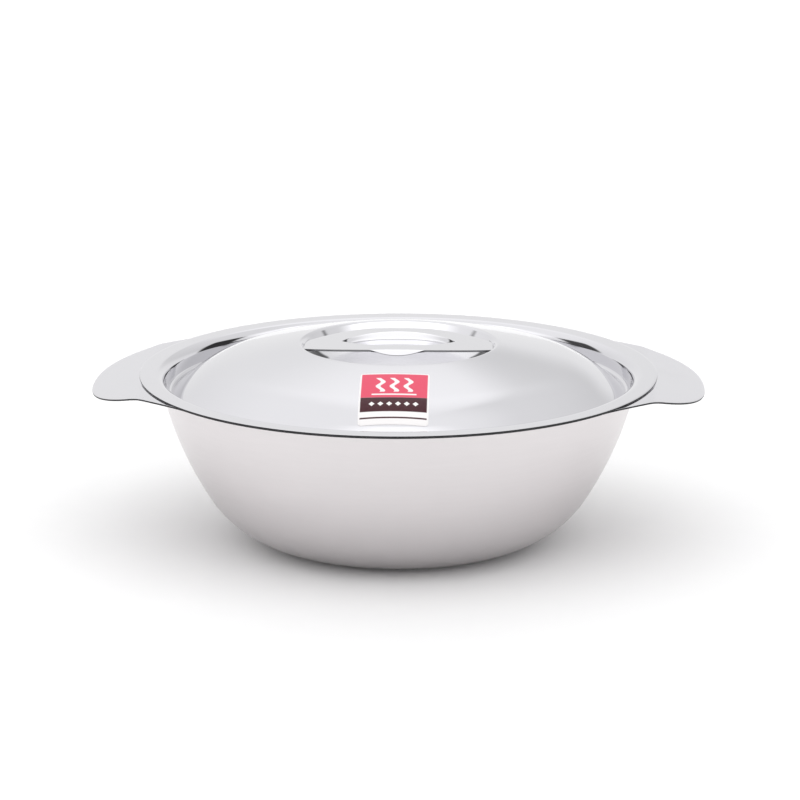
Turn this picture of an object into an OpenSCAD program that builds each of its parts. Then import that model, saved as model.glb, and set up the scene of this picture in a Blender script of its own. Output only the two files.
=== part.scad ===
// Lidded soup bowl: a drawn steel bowl with two drooping ears, a lift-off lid with a pressed dish,
// a grip strap welded across the dish, and a paper label. Units are millimetres. The bowl stands
// on z = 0, the ears and the strap lie along X, and the label faces -Y.

/* [Bowl] */
// height of the flange's top face above the table
bowl_height = 79; // [76:1:82]
// radius of the flat base
base_radius = 48; // [46:1:50]
// bend radius of the lower wall
lower_radius = 48; // [46:1:50]
// bend radius of the upper wall
upper_radius = 162; // [158:1:166]
// thickness of the bowl's sheet
bowl_sheet = 0.8; // [0.6:0.1:1]
// radius of the bend from wall to flange, on the outside
flange_bend = 3; // [2:0.5:3.5]
// width of the flat flange
flange_width = 5.8; // [5:0.2:7]

/* [Ears] */
// how far an ear runs out past the flange
ear_reach = 23; // [20:0.5:26]
// width of an ear where it leaves the flange
ear_width = 102; // [96:1:106]
// downward tilt of an ear, degrees
ear_droop = 13; // [9:0.5:16]
// radius of the bend between flange and ear
ear_bend = 20; // [14:1:24]

/* [Lid] */
// thickness of the lid's sheet
lid_sheet = 0.7; // [0.6:0.1:0.9]
// how far the lid's edge stands out past the bowl's flange
lid_overhang = 1; // [0.4:0.2:2]
// sideways play of the lid's plug in the bowl's mouth
plug_gap = 0.3; // [0.2:0.1:0.6]
// how much rounder the lid bends into its plug than the flange bends below it
bend_ease = 0.5; // [0.3:0.1:0.8]
// radius of the bend at the bottom of the plug
groove_bend = 1.8; // [1.4:0.1:2.2]
// straight length of the plug's wall
plug_wall = 4; // [3:0.1:5]
// straight length of the dome's foot
foot_length = 10.5; // [9:0.5:12]
// bend radius of the dome's shoulder
shoulder_radius = 48; // [44:1:52]
// bend radius of the dome's broad top
crown_radius = 514; // [480:2:560]

/* [Grip] */
// radius of the dish in the lid's middle, at the crest of its lip
dish_radius = 46.3; // [44:0.1:48]
// depth of the dish below its lip
dish_depth = 11; // [9.5:0.5:12]
// radius of the dish's rounded lip
lip_bend = 2; // [1.5:0.1:3]
// radius of the bend between the dish's wall and its floor
dish_bend = 14; // [10:1:15]
// width of the strap at its middle
strap_width = 46.6; // [42:0.2:50]
// width of the strap at its ends
strap_end = 10.4; // [8:0.2:14]
// thickness of the strap's sheet
strap_sheet = 0.9; // [0.7:0.1:1.2]
// height of the strap's middle above the dish's lip
strap_rise = 1.7; // [1:0.1:2.5]
// bend radius of the strap along its length
strap_radius = 280; // [250:5:320]
// width of the strap's turned-down lips at its middle, seen from above
strap_lip = 1.1; // [0.9:0.1:1.2]
// gap that the weld fills between strap and dish
weld_gap = 0.15; // [0.1:0.05:0.3]
// length of the cup in the strap
cup_length = 56; // [50:1:58]
// width of the cup in the strap
cup_width = 28.6; // [25:0.2:30]
// depth of the cup
cup_depth = 3.2; // [2.8:0.1:3.8]

/* [Label] */
// width of the label
label_width = 31; // [24:1:36]
// distance of the label's lower edge from the dome's foot
label_inset = 9.4; // [6:0.2:12]
// length of the label, seen from above
label_length = 40; // [30:1:42]
// thickness of the label
label_sheet = 0.2; // [0.15:0.05:0.3]
// radius of the label's corners
label_corner = 1.5; // [0.5:0.5:3]

/* [Hidden] */
$fn = 120;
steel = [0.80, 0.80, 0.82];
satin = [0.76, 0.75, 0.75];
red = [0.72, 0.07, 0.20];

// Bowl wall, outside: base, lower bend to 57.5 degrees, upper bend, flange bend.
wall_turn = 57.5;
knee_r = base_radius + lower_radius * sin(wall_turn);
knee_z = lower_radius * (1 - cos(wall_turn));
throat_cos = (knee_z + upper_radius * cos(wall_turn) + flange_bend - bowl_height + bowl_sheet)
    / (upper_radius + flange_bend);
throat_turn = acos(throat_cos);
throat_r = knee_r + upper_radius * (sin(throat_turn) - sin(wall_turn));
throat_z = knee_z + upper_radius * (cos(wall_turn) - throat_cos);
mouth_r = throat_r + flange_bend * sin(throat_turn);
seam_overlap = bowl_sheet / 8;
flat_r = mouth_r + 2 * seam_overlap;
flange_r = mouth_r + flange_width;
bend_c = [mouth_r, throat_z - flange_bend * throat_cos];
upper_c = [knee_r - upper_radius * sin(wall_turn), knee_z + upper_radius * cos(wall_turn)];
lower_c = [base_radius, lower_radius];

// Points of the wall, moved inward by d.
function wall_path(d) = concat(
    [[0, d]],
    [for (i = [0 : 10]) let (a = wall_turn * i / 10)
        [lower_c[0] + (lower_radius - d) * sin(a), lower_c[1] - (lower_radius - d) * cos(a)]],
    [for (i = [1 : 8]) let (a = wall_turn + (throat_turn - wall_turn) * i / 8)
        [upper_c[0] + (upper_radius - d) * sin(a), upper_c[1] - (upper_radius - d) * cos(a)]],
    [for (i = [1 : 6]) let (a = throat_turn * (1 - i / 6))
        [bend_c[0] - (flange_bend + d) * sin(a), bend_c[1] + (flange_bend + d) * cos(a)]],
    [[flat_r, bowl_height - bowl_sheet + d]]);

function reversed(p) = [for (i = [len(p) - 1 : -1 : 0]) p[i]];

// Ear outline seen from above: tip, corner, and the hollow run into the flange.
blend_turn = 39.2;
function bezier(p, t) = p[0] * pow(1 - t, 3) + p[1] * 3 * t * pow(1 - t, 2)
    + p[2] * 3 * t * t * (1 - t) + p[3] * t * t * t;
ear_half = ear_width / 2;
ear_tip = [[flange_r + ear_reach, 0], [flange_r + ear_reach, 0.46 * ear_half],
    [flange_r + 0.78 * ear_reach, 0.82 * ear_half], [flange_r + 0.04 * ear_reach, ear_half]];
blend_end = flange_r * [cos(blend_turn), sin(blend_turn)];
ear_root = [ear_tip[3], [flange_r - 0.14 * ear_reach, 1.07 * ear_half],
    blend_end + 0.36 * ear_reach * [sin(blend_turn), -cos(blend_turn)], blend_end];
ear_side = concat([for (i = [0 : 9]) bezier(ear_tip, i / 10)], [for (i = [0 : 10]) bezier(ear_root, i / 10)]);
ear_outline = concat([[0, 0]], [for (i = [len(ear_side) - 1 : -1 : 1]) [ear_side[i][0], -ear_side[i][1]]],
    ear_side);

// Flange and ears seen from the side, moved down by d.
function droop_path(d) = concat(
    [for (i = [0 : 5]) let (a = ear_droop * i / 5)
        [flat_r + (ear_bend - d) * sin(a), bowl_height - ear_bend + (ear_bend - d) * cos(a)]],
    [[flat_r + (ear_bend - d) * sin(ear_droop) + 3 * ear_reach * cos(ear_droop),
      bowl_height - ear_bend + (ear_bend - d) * cos(ear_droop) - 3 * ear_reach * sin(ear_droop)]]);

module flange_and_ears() {
    difference() {
        intersection() {
            translate([0, 0, bowl_height / 2])
                linear_extrude(bowl_height)
                    union() {
                        circle(flange_r);
                        polygon(ear_outline);
                        mirror([1, 0]) polygon(ear_outline);
                    }
            rotate([90, 0, 0])
                linear_extrude(height = 3 * flange_r, center = true)
                    polygon(concat(
                        [for (p = reversed(droop_path(0))) [-p[0], p[1]]], droop_path(0),
                        reversed(droop_path(bowl_sheet)), [for (p = droop_path(bowl_sheet)) [-p[0], p[1]]]));
        }
        translate([0, 0, bowl_height / 2]) cylinder(h = bowl_height, r = mouth_r + seam_overlap);
    }
}

module bowl() {
    color(satin)
        union() {
            rotate_extrude()
                polygon(concat(wall_path(0), reversed(wall_path(bowl_sheet))));
            flange_and_ears();
        }
}

// Lid, from the edge inward. A heading is the angle of the path above the inward direction.
lid_r = flange_r + lid_overhang;
lid_z = bowl_height + lid_sheet;
plug_turn = -78;
foot_turn = 38.5;
shoulder_turn = 14;
dish_turn = -52;
function up(h) = [sin(h), cos(h)];
function along(h) = [-cos(h), sin(h)];
rim_bend = flange_bend + bowl_sheet + lid_sheet + bend_ease;
rim_start = [mouth_r - plug_gap, lid_z];
rim_c = rim_start - rim_bend * up(0);
wall_top = rim_c + rim_bend * up(plug_turn);
wall_end = wall_top + plug_wall * along(plug_turn);
groove_c = wall_end + groove_bend * up(plug_turn);
foot_start = groove_c - groove_bend * up(foot_turn);
foot_end = foot_start + foot_length * along(foot_turn);
shoulder_c = foot_end - shoulder_radius * up(foot_turn);
shoulder_end = shoulder_c + shoulder_radius * up(shoulder_turn);
crown_c = shoulder_end - crown_radius * up(shoulder_turn);
lip_turn = asin((dish_radius - crown_c[0]) / (crown_radius - lip_bend));
lip_c = crown_c + (crown_radius - lip_bend) * up(lip_turn);
lip_z = lip_c[1] + lip_bend;
floor_z = lip_z - dish_depth;
dish_top = lip_c + lip_bend * up(dish_turn);
dish_wall = (dish_top[1] - floor_z - dish_bend * (1 - cos(dish_turn))) / sin(-dish_turn);
dish_c = dish_top + dish_wall * along(dish_turn) + dish_bend * up(dish_turn);
strap_z = lip_z + strap_rise;
cup_slope = 64;
lip_slope = 62;
lip_drop = strap_lip * tan(lip_slope) + strap_sheet / 5;

// Points of the dome from its foot to the lip, moved down by d.
function dome_path(d) = concat(
    [foot_start - d * up(foot_turn)],
    [for (i = [0 : 8]) let (h = foot_turn + (shoulder_turn - foot_turn) * i / 8)
        shoulder_c + (shoulder_radius - d) * up(h)],
    [for (i = [1 : 5]) let (h = shoulder_turn + (lip_turn - shoulder_turn) * i / 5)
        crown_c + (crown_radius - d) * up(h)]);

// Points of the dish from its lip to the middle of its floor, moved down by d.
function dish_path(d) = concat(
    [for (i = [0 : 5]) let (h = lip_turn + (dish_turn - lip_turn) * i / 5) lip_c + (lip_bend - d) * up(h)],
    [for (i = [0 : 6]) let (h = dish_turn * (1 - i / 6)) dish_c - (dish_bend + d) * up(h)],
    [[0, floor_z - d]]);

// Points of the whole lid's face from its edge to its middle, moved down by d.
function lid_path(d) = concat(
    [[lid_r, lid_z - d]],
    [for (i = [0 : 8]) let (h = plug_turn * i / 8) rim_c + (rim_bend - d) * up(h)],
    [for (i = [0 : 7]) let (h = plug_turn + (foot_turn - plug_turn) * i / 7)
        groove_c - (groove_bend + d) * up(h)],
    dome_path(d), dish_path(d));

module lid() {
    color(steel)
        rotate_extrude()
            polygon(concat(lid_path(0), reversed(lid_path(lid_sheet))));
}

// Eye-shaped outline of the strap.
module strap_outline() {
    half = strap_width / 2;
    waist = half - strap_end / 2;
    round = (dish_radius * dish_radius + waist * waist) / (2 * waist);
    intersection() {
        translate([0, round - half]) circle(round, $fn = 360);
        translate([0, half - round]) circle(round, $fn = 360);
    }
}

// Everything below the strap's arched face and its two lips, moved down by d.
module strap_arch(d) {
    fold = strap_width / 2 - strap_lip;
    far = 0.6 * strap_width;
    high = strap_z - d / cos(lip_slope) + fold * tan(lip_slope);
    low = high - far * tan(lip_slope);
    intersection() {
        translate([0, 0, strap_z - strap_radius])
            rotate([90, 0, 0])
                cylinder(h = 2 * strap_width, r = strap_radius - d, center = true, $fn = 720);
        rotate([90, 0, 90])
            linear_extrude(height = 3 * dish_radius, center = true)
                polygon([[-far, low - dish_depth], [far, low - dish_depth], [far, low], [0, high], [-far, low]]);
    }
}

// Room below the lips, at the front and back of the strap.
module lip_cut() {
    for (side = [-1, 1])
        translate([0, side * strap_width / 2, strap_z - lip_drop - dish_depth / 2])
            cube([strap_width, 4 * strap_lip, dish_depth], center = true);
}

// Pointed cup in the strap, with sloping sides; d widens and deepens it for the underside.
module cup(d) {
    half = cup_width / 2;
    reach = cup_length / 2;
    round = (reach * reach + half * half) / (2 * half);
    low = round - (cup_depth + d) / tan(cup_slope) + d / sin(cup_slope);
    high = round + cup_depth / tan(cup_slope) + d / sin(cup_slope);
    intersection_for (side = [-1, 1])
        translate([0, side * (round - half), strap_z - cup_depth - d])
            cylinder(h = 2 * cup_depth + d, r1 = low, r2 = high, $fn = 240);
}

module grip_strap() {
    color(steel)
        difference() {
            intersection() {
                rotate_extrude()
                    polygon(concat([[0, lip_z + dish_depth], [dish_radius + 3 * lip_bend, lip_z + dish_depth]], dish_path(-weld_gap)));
                translate([0, 0, floor_z])
                    linear_extrude(2 * dish_depth)
                        strap_outline();
                strap_arch(0);
            }
            difference() {
                strap_arch(strap_sheet);
                cup(strap_sheet);
            }
            cup(0);
            lip_cut();
        }
}

module label() {
    color(red)
        intersection() {
            rotate_extrude()
                polygon(concat(dome_path(0), reversed(dome_path(-label_sheet))));
            translate([0, label_inset + label_length / 2 - foot_start[0], bowl_height / 2])
                linear_extrude(bowl_height)
                    union() {
                        square([label_width - 2 * label_corner, label_length], center = true);
                        square([label_width, label_length - 2 * label_corner], center = true);
                        for (x = [-1, 1], y = [-1, 1])
                            translate([x * (label_width / 2 - label_corner), y * (label_length / 2 - label_corner)])
                                circle(label_corner, $fn = 32);
                    }
        }
}

bowl();
lid();
grip_strap();
label();
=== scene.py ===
"""Lidded soup bowl in stainless steel: two drooping ears, a lid with a strap grip, a paper label."""
import math

import bpy
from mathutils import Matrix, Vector


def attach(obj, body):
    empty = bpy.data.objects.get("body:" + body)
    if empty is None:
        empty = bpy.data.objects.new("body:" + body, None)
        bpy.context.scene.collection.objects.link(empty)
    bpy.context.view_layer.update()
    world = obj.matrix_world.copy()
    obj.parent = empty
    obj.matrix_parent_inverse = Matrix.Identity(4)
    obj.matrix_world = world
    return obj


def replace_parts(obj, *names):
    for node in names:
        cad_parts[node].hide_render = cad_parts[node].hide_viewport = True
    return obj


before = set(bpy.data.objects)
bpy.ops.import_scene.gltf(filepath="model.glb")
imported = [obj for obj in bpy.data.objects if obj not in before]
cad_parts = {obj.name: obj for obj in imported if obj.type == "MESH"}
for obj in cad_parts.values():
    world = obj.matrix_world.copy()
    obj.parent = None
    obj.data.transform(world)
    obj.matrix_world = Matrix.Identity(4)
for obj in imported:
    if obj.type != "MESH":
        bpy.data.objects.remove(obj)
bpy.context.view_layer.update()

MM = 0.001

# Sizes are those of the solids, in millimetres. The lid's overhang, the strap's rise and the label's
# sheet are a hair smaller, which keeps the dressed part inside the solids' box. The shape of the
# strap's ends, the rounding of its lip and cup, and the label's lift are set here alone.

# Bowl
BOWL_HEIGHT = 79.0
BASE_RADIUS = 48.0
LOWER_RADIUS = 48.0
UPPER_RADIUS = 162.0
BOWL_SHEET = 0.8
FLANGE_BEND = 3.0
FLANGE_WIDTH = 5.8
FLAT_START = 0.2
WALL_TURN = math.radians(57.5)
EAR_REACH = 23.0
EAR_HALF = 51.0
EAR_DROOP = math.radians(13)
EAR_BEND = 20.0
BLEND_TURN = math.radians(39.2)

# Lid
LID_SHEET = 0.7
LID_OVERHANG = 0.99
PLUG_GAP = 0.3
PLUG_WALL = 4.0
BEND_EASE = 0.5
FOOT_LENGTH = 10.5
SHOULDER_RADIUS = 48.0
CROWN_RADIUS = 514.0
RIM_BEND = FLANGE_BEND + BOWL_SHEET + LID_SHEET + BEND_EASE
GROOVE_BEND = 1.8
PLUG_TURN = math.radians(-78)
FOOT_TURN = math.radians(38.5)
SHOULDER_TURN = math.radians(14)

# Dish and the strap across it
DISH_RADIUS = 46.3
DISH_DEPTH = 11.0
LIP_BEND = 2.0
DISH_BEND = 14.0
DISH_TURN = math.radians(-52)
STRAP_HALF = 23.3
STRAP_END = 5.2
STRAP_REACH = 43.8
END_BULGE = 0.35
STRAP_SHEET = 0.9
STRAP_RISE = 1.69
STRAP_RADIUS = 280.0
STRAP_LIP = 1.2
LIP_SLOPE = math.radians(65)
LIP_ROUND = 0.5
CUP_REACH = 26.5
CUP_HALF = 14.3
CUP_DEPTH = 3.2
CUP_SLOPE = math.radians(64)
CUP_ROUND = 0.6
CUP_RIM_ROUND = 0.4

# Label
LABEL_WIDTH = 31.0
LABEL_LENGTH = 40.0
LABEL_INSET = 9.4
LABEL_SHEET = 0.15
LABEL_LIFT = 0.02
LABEL_CORNER = 1.5


def mix(a, b, t):
    """The value a share t of the way from a to b."""
    return a + (b - a) * t


def shares(steps):
    """Even shares from 0 to 1."""
    return [k / steps for k in range(steps + 1)]


def soft_min(a, b, reach):
    """The smaller of two heights, rounded where they cross."""
    near = max(reach - abs(a - b), 0) / reach
    return min(a, b) - near * near * reach / 4


# Bowl wall, seen from the inside
knee_r = BASE_RADIUS + LOWER_RADIUS * math.sin(WALL_TURN)
knee_z = LOWER_RADIUS * (1 - math.cos(WALL_TURN))
throat_cos = (knee_z + UPPER_RADIUS * math.cos(WALL_TURN) + FLANGE_BEND - BOWL_HEIGHT + BOWL_SHEET) / (
    UPPER_RADIUS + FLANGE_BEND)
throat_turn = math.acos(throat_cos)
throat_r = knee_r + UPPER_RADIUS * (math.sin(throat_turn) - math.sin(WALL_TURN))
throat_z = knee_z + UPPER_RADIUS * (math.cos(WALL_TURN) - throat_cos)
mouth_r = throat_r + FLANGE_BEND * math.sin(throat_turn)
flat_r = mouth_r + FLAT_START
flange_r = mouth_r + FLANGE_WIDTH


def bowl_inside():
    """Radius and height from the middle of the bowl's floor to the start of its flange."""
    lower, upper, bend = LOWER_RADIUS - BOWL_SHEET, UPPER_RADIUS - BOWL_SHEET, FLANGE_BEND + BOWL_SHEET
    upper_c = (knee_r - UPPER_RADIUS * math.sin(WALL_TURN), knee_z + UPPER_RADIUS * math.cos(WALL_TURN))
    bend_c = (mouth_r, throat_z - FLANGE_BEND * throat_cos)
    points = [(BASE_RADIUS * t, BOWL_SHEET) for t in shares(6)[1:-1]]
    for t in shares(18):
        a = WALL_TURN * t
        points.append((BASE_RADIUS + lower * math.sin(a), LOWER_RADIUS - lower * math.cos(a)))
    for t in shares(14)[1:]:
        a = mix(WALL_TURN, throat_turn, t)
        points.append((upper_c[0] + upper * math.sin(a), upper_c[1] - upper * math.cos(a)))
    for t in shares(10)[1:]:
        a = throat_turn * (1 - t)
        points.append((bend_c[0] - bend * math.sin(a), bend_c[1] + bend * math.cos(a)))
    return points


def droop(x):
    """How far the flange and ears lie below the flange's top at a distance x along the ears."""
    over = abs(x) - flat_r
    if over <= 0:
        return 0.0
    arc = EAR_BEND * math.sin(EAR_DROOP)
    if over < arc:
        return EAR_BEND - math.sqrt(EAR_BEND ** 2 - over ** 2)
    return EAR_BEND * (1 - math.cos(EAR_DROOP)) + (over - arc) * math.tan(EAR_DROOP)


def bezier(a, b, c, d, t):
    """A point of the curve from a to d with handles b and c."""
    return [a[k] * (1 - t) ** 3 + 3 * b[k] * t * (1 - t) ** 2 + 3 * c[k] * t * t * (1 - t) + d[k] * t ** 3
            for k in (0, 1)]


def flange_edge():
    """Angle and radius of the flange's edge, from the middle of an ear round to where it meets the circle.

    The curves' handles are shares of the ear's reach and of half its width.
    """
    tip, knuckle = flange_r + EAR_REACH, (flange_r + 0.04 * EAR_REACH, EAR_HALF)
    corner = (flange_r + 0.78 * EAR_REACH, 0.82 * EAR_HALF)
    neck = (flange_r - 0.14 * EAR_REACH, 1.07 * EAR_HALF)
    cosine, sine, handle = math.cos(BLEND_TURN), math.sin(BLEND_TURN), 0.36 * EAR_REACH
    end = (flange_r * cosine, flange_r * sine)
    hollow = (end[0] + handle * sine, end[1] - handle * cosine)
    run = [bezier((tip, 0), (tip, 0.46 * EAR_HALF), corner, knuckle, t) for t in shares(60)]
    run += [bezier(knuckle, neck, hollow, end, t) for t in shares(60)[1:]]
    return [(math.atan2(y, x), math.hypot(x, y)) for x, y in run]


EDGE = flange_edge()


def edge_radius(turn):
    """Radius of the flange's edge in a direction."""
    fold = abs(math.remainder(turn, math.pi))
    for (a, ra), (b, rb) in zip(EDGE, EDGE[1:]):
        if a <= fold <= b:
            return mix(ra, rb, (fold - a) / (b - a))
    return flange_r


def new_piece(name, points, faces, material):
    """A smooth mesh in the scene, from points in millimetres."""
    mesh = bpy.data.meshes.new(name)
    mesh.from_pydata([Vector(p) * MM for p in points], [], faces)
    mesh.update()
    mesh.polygons.foreach_set("use_smooth", [True] * len(mesh.polygons))
    piece = bpy.data.objects.new(name, mesh)
    bpy.context.scene.collection.objects.link(piece)
    mesh.materials.append(material)
    return piece


def give_sheet(piece, thickness, edge):
    """Turns a surface into sheet metal or paper of a thickness, with its edge broken."""
    shell = piece.modifiers.new("sheet", "SOLIDIFY")
    shell.thickness = thickness * MM
    shell.offset = -1
    shell.use_even_offset = True
    broken = piece.modifiers.new("edge", "BEVEL")
    broken.width = edge * MM
    broken.segments = 2
    broken.limit_method = "ANGLE"
    broken.angle_limit = math.radians(55)
    return shell


def ring_faces(first, second, count):
    """Faces between two rings of points, each given by the number of its first point."""
    return [(first + k, first + (k + 1) % count, second + (k + 1) % count, second + k) for k in range(count)]


def make_bowl(inside, outside, edge_painted_shade):
    """Wall, flange and ears as one sheet, meshed in rings from the middle of the floor outward."""
    count, flange_rows = 360, 24
    turns = [2 * math.pi * k / count for k in range(count)]
    points, faces = [(0, 0, BOWL_SHEET)], []
    for r, z in bowl_inside():
        points += [(r * math.cos(t), r * math.sin(t), z) for t in turns]
    edge = [edge_radius(t) for t in turns]
    for k in range(1, flange_rows + 1):
        for t, rim in zip(turns, edge):
            r = mix(mouth_r, rim, k / flange_rows)
            x, y = r * math.cos(t), r * math.sin(t)
            points.append((x, y, BOWL_HEIGHT - droop(x)))
    faces += [(0, 1 + k, 1 + (k + 1) % count) for k in range(count)]
    for row in range((len(points) - 1) // count - 1):
        faces += ring_faces(1 + (row + 1) * count, 1 + row * count, count)
    bowl = new_piece("drawn_bowl", points, faces, inside)
    bowl.data.materials.append(outside)
    bowl.data.materials.append(edge_painted_shade)
    shell = give_sheet(bowl, BOWL_SHEET, edge=0.15)
    shell.material_offset = 1
    shell.material_offset_rim = 2
    return bowl


# Lid profile from the edge inward: a heading is the path's angle above the inward direction
def up(heading):
    """Square to the path, on the side of the lid's face."""
    return Vector((math.sin(heading), math.cos(heading)))


def along(heading):
    """Straight on along the path."""
    return Vector((-math.cos(heading), math.sin(heading)))


lid_r = flange_r + LID_OVERHANG
lid_z = BOWL_HEIGHT + LID_SHEET
rim_start = Vector((mouth_r - PLUG_GAP, lid_z))
rim_c = rim_start - RIM_BEND * up(0)
wall_top = rim_c + RIM_BEND * up(PLUG_TURN)
wall_end = wall_top + PLUG_WALL * along(PLUG_TURN)
groove_c = wall_end + GROOVE_BEND * up(PLUG_TURN)
foot_start = groove_c - GROOVE_BEND * up(FOOT_TURN)
foot_end = foot_start + FOOT_LENGTH * along(FOOT_TURN)
shoulder_c = foot_end - SHOULDER_RADIUS * up(FOOT_TURN)
shoulder_end = shoulder_c + SHOULDER_RADIUS * up(SHOULDER_TURN)
crown_c = shoulder_end - CROWN_RADIUS * up(SHOULDER_TURN)
lip_turn = math.asin((DISH_RADIUS - crown_c.x) / (CROWN_RADIUS - LIP_BEND))
lip_c = crown_c + (CROWN_RADIUS - LIP_BEND) * up(lip_turn)
lip_z = lip_c.y + LIP_BEND
floor_z = lip_z - DISH_DEPTH
dish_top = lip_c + LIP_BEND * up(DISH_TURN)
dish_wall = (dish_top.y - floor_z - DISH_BEND * (1 - math.cos(DISH_TURN))) / math.sin(-DISH_TURN)
dish_c = dish_top + dish_wall * along(DISH_TURN) + DISH_BEND * up(DISH_TURN)
strap_z = lip_z + STRAP_RISE


def dome_height(r):
    """Height of the dome's face between its foot and the lip of the dish."""
    if r < shoulder_end.x:
        return crown_c.y + math.sqrt(CROWN_RADIUS ** 2 - (r - crown_c.x) ** 2)
    if r < foot_end.x:
        return shoulder_c.y + math.sqrt(SHOULDER_RADIUS ** 2 - (r - shoulder_c.x) ** 2)
    return foot_end.y - (r - foot_end.x) * math.tan(FOOT_TURN)


def lid_arc(centre, radius, start, end, steps):
    """Points round a centre from one heading to another, with a radius below 0 where the face is hollow."""
    return [tuple(centre + radius * up(mix(start, end, t))) for t in shares(steps)]


def lid_rows():
    """Radius and height from the lid's edge in to the floor of its dish."""
    rows = [(mix(lid_r, rim_start.x, t), lid_z) for t in shares(6)[:-1]]
    rows += lid_arc(rim_c, RIM_BEND, 0, PLUG_TURN, 18)
    rows += [tuple(wall_top.lerp(wall_end, t)) for t in shares(4)[1:-1]]
    rows += lid_arc(groove_c, -GROOVE_BEND, PLUG_TURN, FOOT_TURN, 14)
    rows += [tuple(foot_start.lerp(foot_end, t)) for t in shares(5)[1:-1]]
    rows += lid_arc(shoulder_c, SHOULDER_RADIUS, FOOT_TURN, SHOULDER_TURN, 14)
    rows += lid_arc(crown_c, CROWN_RADIUS, SHOULDER_TURN, lip_turn, 14)[1:-1]
    rows += lid_arc(lip_c, LIP_BEND, lip_turn, DISH_TURN, 12)
    rows += lid_arc(dish_c, -DISH_BEND, DISH_TURN, 0, 16)
    rows += [(dish_c.x * (1 - t), floor_z) for t in shares(8)[1:-1]]
    return rows


def make_lid(material, edge_painted_shade):
    """Edge, groove, dome and dish as one sheet, meshed in rings from the edge inward."""
    count = 288
    turns = [2 * math.pi * k / count for k in range(count)]
    points, faces = [], []
    rows = lid_rows()
    for r, z in rows:
        points += [(r * math.cos(t), r * math.sin(t), z) for t in turns]
    for row in range(len(rows) - 1):
        faces += ring_faces(row * count, (row + 1) * count, count)
    last = (len(rows) - 1) * count
    faces += [(last + k, last + (k + 1) % count, len(points)) for k in range(count)]
    points.append((0, 0, floor_z))
    lid = new_piece("pressed_lid", points, faces, material)
    lid.data.materials.append(edge_painted_shade)
    give_sheet(lid, LID_SHEET, edge=0.12).material_offset_rim = 1
    return lid


def strap_half(x):
    """Half the strap's width at a distance x from its middle."""
    waist = STRAP_HALF - STRAP_END
    turn = (DISH_RADIUS ** 2 + waist ** 2) / (2 * waist)
    return math.sqrt(turn ** 2 - x * x) - turn + STRAP_HALF


def cup_half(x):
    """Half the cup's width at a distance x from its middle, below 0 past its tips."""
    turn = (CUP_REACH ** 2 + CUP_HALF ** 2) / (2 * CUP_HALF)
    return math.sqrt(max(turn ** 2 - x * x, 0)) - turn + CUP_HALF


def strap_height(x, y):
    """Height of the strap's face: a shallow arch with a pointed cup and a lip turned down on each side."""
    arch = strap_z - STRAP_RADIUS + math.sqrt(STRAP_RADIUS ** 2 - x * x)
    wall = arch - (cup_half(x) - abs(y)) * math.tan(CUP_SLOPE)
    floor = strap_z - CUP_DEPTH
    lip = strap_z - (abs(y) - STRAP_HALF + STRAP_LIP) * math.tan(LIP_SLOPE)
    cup = -soft_min(-wall, -floor, CUP_ROUND)
    return soft_min(soft_min(arch, lip, LIP_ROUND), cup, CUP_RIM_ROUND)


def make_strap(material, edge_painted_shade):
    """The eye-shaped strap, meshed in rows that follow its edge and the rim of its cup.

    The rows crowd at the edge and at the cup's rim, where the sheet bends.
    """
    columns, flat_rows, cup_rows = 200, 24, 26
    narrowest, crowding, cup_crowding = 2.5, 9, 1.4
    points, faces = [], []
    for i in range(columns + 1):
        share = 2 * i / columns - 1
        side = []
        for k in range(flat_rows):
            way = k / flat_rows
            x = share * (STRAP_REACH - END_BULGE * (1 - way) ** 2)
            rim = max(cup_half(x), narrowest)
            y = mix(strap_half(x), rim, way - math.sin(2 * math.pi * way) / crowding)
            side.append((x, y))
        x = share * STRAP_REACH
        rim = max(cup_half(x), narrowest)
        side += [(x, rim * (1 - (k / cup_rows) ** cup_crowding)) for k in range(cup_rows)]
        row = [(x, -y) for x, y in side] + [(x, 0)] + side[::-1]
        points += [(x, y, strap_height(x, y)) for x, y in row]
    count = 2 * (flat_rows + cup_rows) + 1
    for i in range(columns):
        for j in range(count - 1):
            a = i * count + j
            faces.append((a, a + count, a + count + 1, a + 1))
    strap = new_piece("grip_strap_dressed", points, faces, material)
    strap.data.materials.append(edge_painted_shade)
    give_sheet(strap, STRAP_SHEET, edge=0.05).material_offset_rim = 1
    return strap


def make_label(material):
    """Paper with rounded corners that lies on the front of the dome, with its own print coordinates."""
    across, down = 24, 40
    points, faces, spots = [], [], []
    for j in range(down + 1):
        for k in range(across + 1):
            u, v = k / across, j / down
            x, y = (u - 0.5) * LABEL_WIDTH, (v - 0.5) * LABEL_LENGTH
            dx = abs(x) - LABEL_WIDTH / 2 + LABEL_CORNER
            dy = abs(y) - LABEL_LENGTH / 2 + LABEL_CORNER
            if dx > 0 and dy > 0:
                pull = max(dx, dy) / math.hypot(dx, dy)
                x -= math.copysign(dx * (1 - pull), x)
                y -= math.copysign(dy * (1 - pull), y)
            y -= foot_start.x - LABEL_INSET - LABEL_LENGTH / 2
            points.append((x, y, dome_height(math.hypot(x, y)) + LABEL_SHEET + LABEL_LIFT))
            spots.append((u, v))
    for j in range(down):
        for k in range(across):
            a = j * (across + 1) + k
            faces.append((a, a + 1, a + across + 2, a + across + 1))
    label = new_piece("paper_label", points, faces, material)
    layer = label.data.uv_layers.new(name="print")
    for loop in label.data.loops:
        layer.data[loop.index].uv = spots[loop.vertex_index]
    give_sheet(label, LABEL_SHEET, edge=0.03)
    return label


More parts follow.
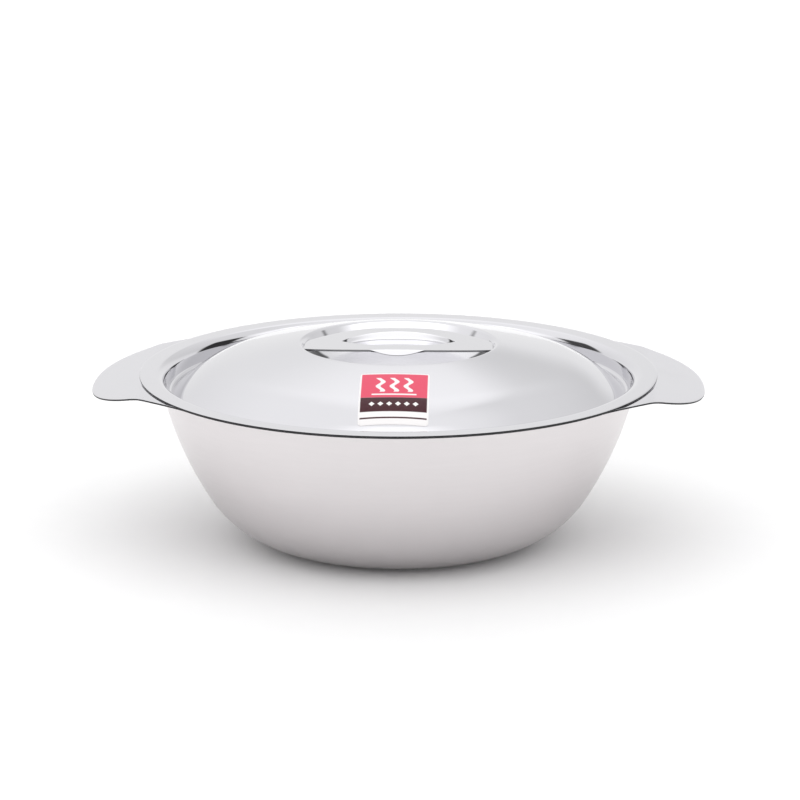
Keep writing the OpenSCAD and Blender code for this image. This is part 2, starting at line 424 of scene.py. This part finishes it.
class Wire:
    """A socket of a shader. Arithmetic on it adds Math nodes."""

    def __init__(self, shader, socket):
        self.shader, self.socket = shader, socket

    def math(self, operation, *others):
        """A Math node on this value and others."""
        return self.shader.node("ShaderNodeMath", {"operation": operation}, dict(enumerate((self,) + others)))

    def out(self, name):
        """Another output of the same node."""
        return Wire(self.shader, self.socket.node.outputs[name])

    def __add__(self, other):
        return self.math("ADD", other)

    def __sub__(self, other):
        return self.math("SUBTRACT", other)

    def __rsub__(self, other):
        return self * -1 + other

    def __mul__(self, other):
        return self.math("MULTIPLY", other)

    __radd__, __rmul__ = __add__, __mul__

    def step(self, low, high):
        """0 below low, 1 above high, smooth between."""
        return self.shader.node("ShaderNodeMapRange", {"interpolation_type": "SMOOTHSTEP"},
                                {"Value": self, "From Min": low, "From Max": high})

    def band(self, low, high, soft):
        """1 between low and high, 0 outside, with soft ends."""
        return self.step(low - soft, low + soft) * (1 - self.step(high - soft, high + soft))


class Shader:
    """The node tree of a material or of the world."""

    def __init__(self, owner):
        owner.use_nodes = True
        self.tree = owner.node_tree
        self.tree.nodes.clear()

    def node(self, kind, settings=None, inputs=None):
        """Adds a node, sets it up, fills or links its sockets, and gives its first output."""
        made = self.tree.nodes.new(kind)
        for name, value in (settings or {}).items():
            setattr(made, name, value)
        for key, value in (inputs or {}).items():
            if isinstance(value, Wire):
                self.tree.links.new(value.socket, made.inputs[key])
            else:
                made.inputs[key].default_value = value
        return Wire(self, made.outputs[0]) if made.outputs else None

    def place(self, kind="Object"):
        """The point being shaded, and its x, y and z."""
        spot = self.node("ShaderNodeTexCoord").out(kind)
        x = self.node("ShaderNodeSeparateXYZ", None, {0: spot})
        return spot, x, x.out("Y"), x.out("Z")

    def noise(self, spot, scale, detail=2.0, rough=0.5):
        return self.node("ShaderNodeTexNoise", None,
                         {"Vector": spot, "Scale": scale, "Detail": detail, "Roughness": rough})

    def blend(self, amount, first, second):
        """One colour fading into another."""
        made = self.node("ShaderNodeMix", {"data_type": "RGBA"}, {"Factor": amount})
        for name, value in (("A", first), ("B", second)):
            socket = [s for s in made.socket.node.inputs if s.name == name and s.type == "RGBA"][0]
            if isinstance(value, Wire):
                self.tree.links.new(value.socket, socket)
            else:
                socket.default_value = value
        return Wire(self, [s for s in made.socket.node.outputs if s.type == "RGBA"][0])

    def surface(self, inputs):
        """Ends a material with one Principled surface."""
        skin = self.node("ShaderNodeBsdfPrincipled", None, inputs)
        self.node("ShaderNodeOutputMaterial", None, {"Surface": skin})


def shaded(tint, share):
    """A colour with its light times a share, for the far end of a blend."""
    return [c * share for c in tint[:3]] + [1]


def polished_steel(name, tint, rough, smear, dished=False):
    """Mirror-polished sheet: faint smears in the gloss and a shallow ripple from drawing.

    The lid is dished: under and in front of the strap its dish is dulled and painted paler as painted light,
    and under the strap's ends it is painted near-black as painted shade for the gap beneath them.
    """
    material = bpy.data.materials.new(name)
    shader = Shader(material)
    spot, x, y, z = shader.place()
    smears = shader.noise(spot, 38.0, 4.0, 0.6)
    fine = shader.noise(spot, 900.0, 2.0)
    roughness = rough + smears.step(0.45, 0.75) * smear + fine * 0.01
    colour = shader.blend(smears, tint, shaded(tint, 0.975))
    if dished:
        radius = (x * x + y * y).math("SQRT")
        # Painted light: under and in front of the strap the dish's gloss is dulled and its colour painted
        # paler than the steel.
        dull_and_painted_light = (1 - radius.step(36 * MM, 46 * MM)) * (1 - y.step(20 * MM, 32 * MM))
        roughness = roughness + dull_and_painted_light * 0.16
        colour = shader.blend(dull_and_painted_light, colour, shaded(tint, 1.13))
        # Painted shade: near-black on the dish under the strap's ends, where the gap beneath them lies in
        # shade.
        painted_gap_shade = x.math("ABSOLUTE").band(33 * MM, 45.5 * MM, MM)
        painted_gap_shade = painted_gap_shade * (1 - y.math("ABSOLUTE").step(10 * MM, 13 * MM))
        painted_gap_shade = painted_gap_shade * (1 - z.step((lip_z - 2.2) * MM, (lip_z - 1.6) * MM))
        colour = shader.blend(painted_gap_shade, colour, (0.02, 0.02, 0.025, 1))
    ripple = shader.noise(spot, 14.0, 1.0)
    bump = shader.node("ShaderNodeBump", None, {"Strength": 0.02, "Distance": 0.001, "Height": ripple})
    shader.surface({"Base Color": colour, "Metallic": 1.0, "Roughness": roughness, "Normal": bump})
    return material


def satin_steel(name, tint, rough):
    """Spun satin finish: fine grain that runs round the bowl, soft streaks in the gloss, and painted shade
    that darkens it towards the foot.
    """
    material = bpy.data.materials.new(name)
    shader = Shader(material)
    spot, x, y, z = shader.place()
    radius = (x * x + y * y).math("SQRT")
    turn = y.math("ARCTAN2", x)
    lines = shader.node("ShaderNodeCombineXYZ", None, {"X": turn * 0.2, "Y": z * 18.0, "Z": radius * 18.0})
    grain = shader.noise(lines, 34.0, 2.0)
    streak = shader.noise(lines, 5.0, 2.0)
    cloud = shader.noise(spot, 22.0, 3.0)
    colour = shader.blend(grain * 0.7 + streak * 0.3, tint, shaded(tint, 0.96))
    # Painted shade: the colour darkens towards the foot, standing in for the shadowed floor it reflects.
    colour = shader.blend(z.step(-4 * MM, 50 * MM), shaded(tint, 0.74), colour)
    roughness = rough + (grain - 0.5) * 0.04 + (cloud - 0.5) * 0.06
    bump = shader.node("ShaderNodeBump", None, {"Strength": 0.01, "Distance": 0.0004, "Height": grain})
    shader.surface({"Base Color": colour, "Metallic": 1.0, "Roughness": roughness, "Normal": bump})
    return material


def edge_steel_painted_shade(name, tint):
    """Sheared edge of the sheet, dull with fine marks across it, and painted dark as painted shade for the
    gaps along the edge.
    """
    material = bpy.data.materials.new(name)
    shader = Shader(material)
    marks = shader.noise(shader.place()[0], 600.0, 3.0)
    colour = shader.blend(marks, tint, shaded(tint, 0.7))
    shader.surface({"Base Color": colour, "Metallic": 1.0, "Roughness": 0.42 + marks * 0.1})
    return material


def label_print():
    """Glossy paper: a crimson field with steam curls, a dark band with diamonds, and a white foot."""
    material = bpy.data.materials.new("label_print")
    shader = Shader(material)
    u, v = shader.place("UV")[1:3]
    white, crimson = (0.86, 0.84, 0.84, 1), (0.73, 0.06, 0.125, 1)
    wine, fibre_grey = (0.045, 0.001, 0.008, 1), (0.55, 0.5, 0.5, 1)
    inside = u.band(0.025, 0.975, 0.006)
    field = inside * v.band(0.42, 0.975, 0.005)
    belt = inside * v.band(0.17, 0.42, 0.005)
    sway = (v * 30.0).math("SINE") * 0.035
    curls = 0
    for middle in (0.3, 0.5, 0.7):
        curls = curls + (u + sway - middle).math("ABSOLUTE").band(-1.0, 0.035, 0.006)
    curls = curls * v.band(0.55, 0.88, 0.01)
    tray = (u - 0.5).math("ABSOLUTE").band(-1.0, 0.32, 0.006) * v.band(0.475, 0.505, 0.005)
    beads = (u * 8.0).math("FRACT") - 0.5
    lozenge = (beads.math("ABSOLUTE") + (v - 0.295).math("ABSOLUTE") * 9.0).band(-1.0, 0.34, 0.04)
    rule = inside * v.band(0.075, 0.095, 0.004)
    colour = shader.blend(field, white, crimson)
    colour = shader.blend(field * (curls + tray), colour, white)
    colour = shader.blend(belt, colour, wine)
    colour = shader.blend(belt * lozenge * u.band(0.125, 0.875, 0.001), colour, white)
    colour = shader.blend(rule, colour, wine)
    fibre = shader.noise(shader.place()[0], 700.0, 3.0)
    colour = shader.blend(fibre * 0.05, colour, fibre_grey)
    bump = shader.node("ShaderNodeBump", None, {"Strength": 0.04, "Distance": 0.0002, "Height": fibre})
    shader.surface({"Base Color": colour, "Roughness": 0.3 + fibre * 0.1, "Specular IOR Level": 0.18,
                    "Normal": bump})
    return material


def make_floor():
    """Pale floor, 18 m wide, that keeps the bowl's shadow."""
    half = 9000
    material = bpy.data.materials.new("pale_floor")
    shader = Shader(material)
    grain = shader.noise(shader.place()[0], 60.0, 3.0)
    colour = shader.blend(grain, (0.93, 0.93, 0.935, 1), (0.95, 0.95, 0.95, 1))
    shader.surface({"Base Color": colour, "Roughness": 0.8, "Specular IOR Level": 0.1})
    floor = new_piece("floor", [(-half, -half, 0), (half, -half, 0), (half, half, 0), (-half, half, 0)],
                      [(0, 1, 2, 3)], material)


def make_studio():
    """Pale room: lighter overhead and behind the camera, with dark doorways at both sides.

    turn is the angle round from the back wall, in radians, positive to the right; z is the height of
    the direction, from -1 to 1.
    """
    world = bpy.data.worlds.new("studio")
    bpy.context.scene.world = world
    shader = Shader(world)
    x, y, z = shader.place("Generated")[1:]
    turn = x.math("ARCTAN2", y)
    rear = 1 - turn.math("ABSOLUTE").step(1.35, 1.75)
    room = 0.94 + z.step(0.2, 0.85) * 0.16
    shade = (turn - z.step(0.4, 0.9) * 0.35).step(-0.03, 0.14) * z.band(0.27, 0.9, 0.1) * 0.17
    glow = turn.band(-0.3, 0.3, 0.2) * z.band(0.55, 0.93, 0.15) * 0.13
    front = 0.95 + z.step(0.3, 0.6) * 0.42
    lamp = turn.math("ABSOLUTE").step(1.4, 1.8) * z.band(0.8, 0.97, 0.04) * 0.45
    light = rear * (room + glow - shade) + (1 - rear) * front + lamp
    right_door = turn.band(1.02, 1.5, 0.05) * z.band(0.03, 0.56, 0.03)
    left_door = turn.band(-1.5, -1.04, 0.05) * z.band(0.12, 0.54, 0.04)
    left_shelf = turn.band(-1.9, -1.2, 0.1) * z.band(-0.1, 0.16, 0.03)
    light = light * (1 - right_door * 0.95) * (1 - left_door * 0.92) * (1 - left_shelf * 0.85)
    by_camera = shader.node("ShaderNodeLightPath")
    light = light * (1 - by_camera) + by_camera
    sky = shader.node("ShaderNodeBackground", None, {"Color": light, "Strength": 1.0})
    shader.node("ShaderNodeOutputWorld", None, {"Surface": sky})


def make_camera():
    """Long lens a little above the rim, at the photograph's angle."""
    camera = bpy.data.objects.new("camera", bpy.data.cameras.new("camera"))
    bpy.context.scene.collection.objects.link(camera)
    bpy.context.scene.camera = camera
    camera.data.sensor_width = 36
    camera.data.lens = 145.1
    rise, swing, distance = math.radians(13.7), math.radians(1.5), 1.5
    rim = Vector((0, 0, lid_z * MM))
    away = Vector((math.cos(rise) * math.sin(swing), -math.cos(rise) * math.cos(swing), math.sin(rise)))
    camera.location = rim + away * distance
    aim = rim + Vector((0.7, 0, -14.35)) * MM
    camera.rotation_euler = (aim - camera.location).to_track_quat("-Z", "Y").to_euler()


bpy.context.scene.view_settings.view_transform = "Standard"
make_camera()
make_studio()
make_floor()

lid_polish = polished_steel("lid_polish", (0.733, 0.729, 0.757, 1), rough=0.04, smear=0.05, dished=True)
bowl_polish = polished_steel("bowl_polish", (0.722, 0.716, 0.75, 1), rough=0.07, smear=0.07)
bowl_satin = satin_steel("bowl_satin", (0.752, 0.722, 0.728, 1), rough=0.305)
strap_polish = polished_steel("strap_polish", (0.735, 0.731, 0.757, 1), rough=0.04, smear=0.05)
# Painted shade: the edge materials are dark to stand for the shadowed gaps along the sheets' edges.
edge_painted_shade = edge_steel_painted_shade("edge_painted_shade", (0.05, 0.05, 0.052, 1))
# Painted shade: the strap's edge is darkened to stand for the shadowed gap beneath the strap.
strap_edge_painted_shade = edge_steel_painted_shade("strap_edge_painted_shade", (0.3, 0.3, 0.31, 1))

bowl = make_bowl(bowl_polish, bowl_satin, edge_painted_shade)
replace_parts(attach(bowl, "bowl"), "bowl")
lid = make_lid(lid_polish, edge_painted_shade)
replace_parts(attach(lid, "lid"), "lid")
strap = make_strap(strap_polish, strap_edge_painted_shade)
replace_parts(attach(strap, "lid"), "grip_strap")
label = make_label(label_print())
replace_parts(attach(label, "lid"), "label")
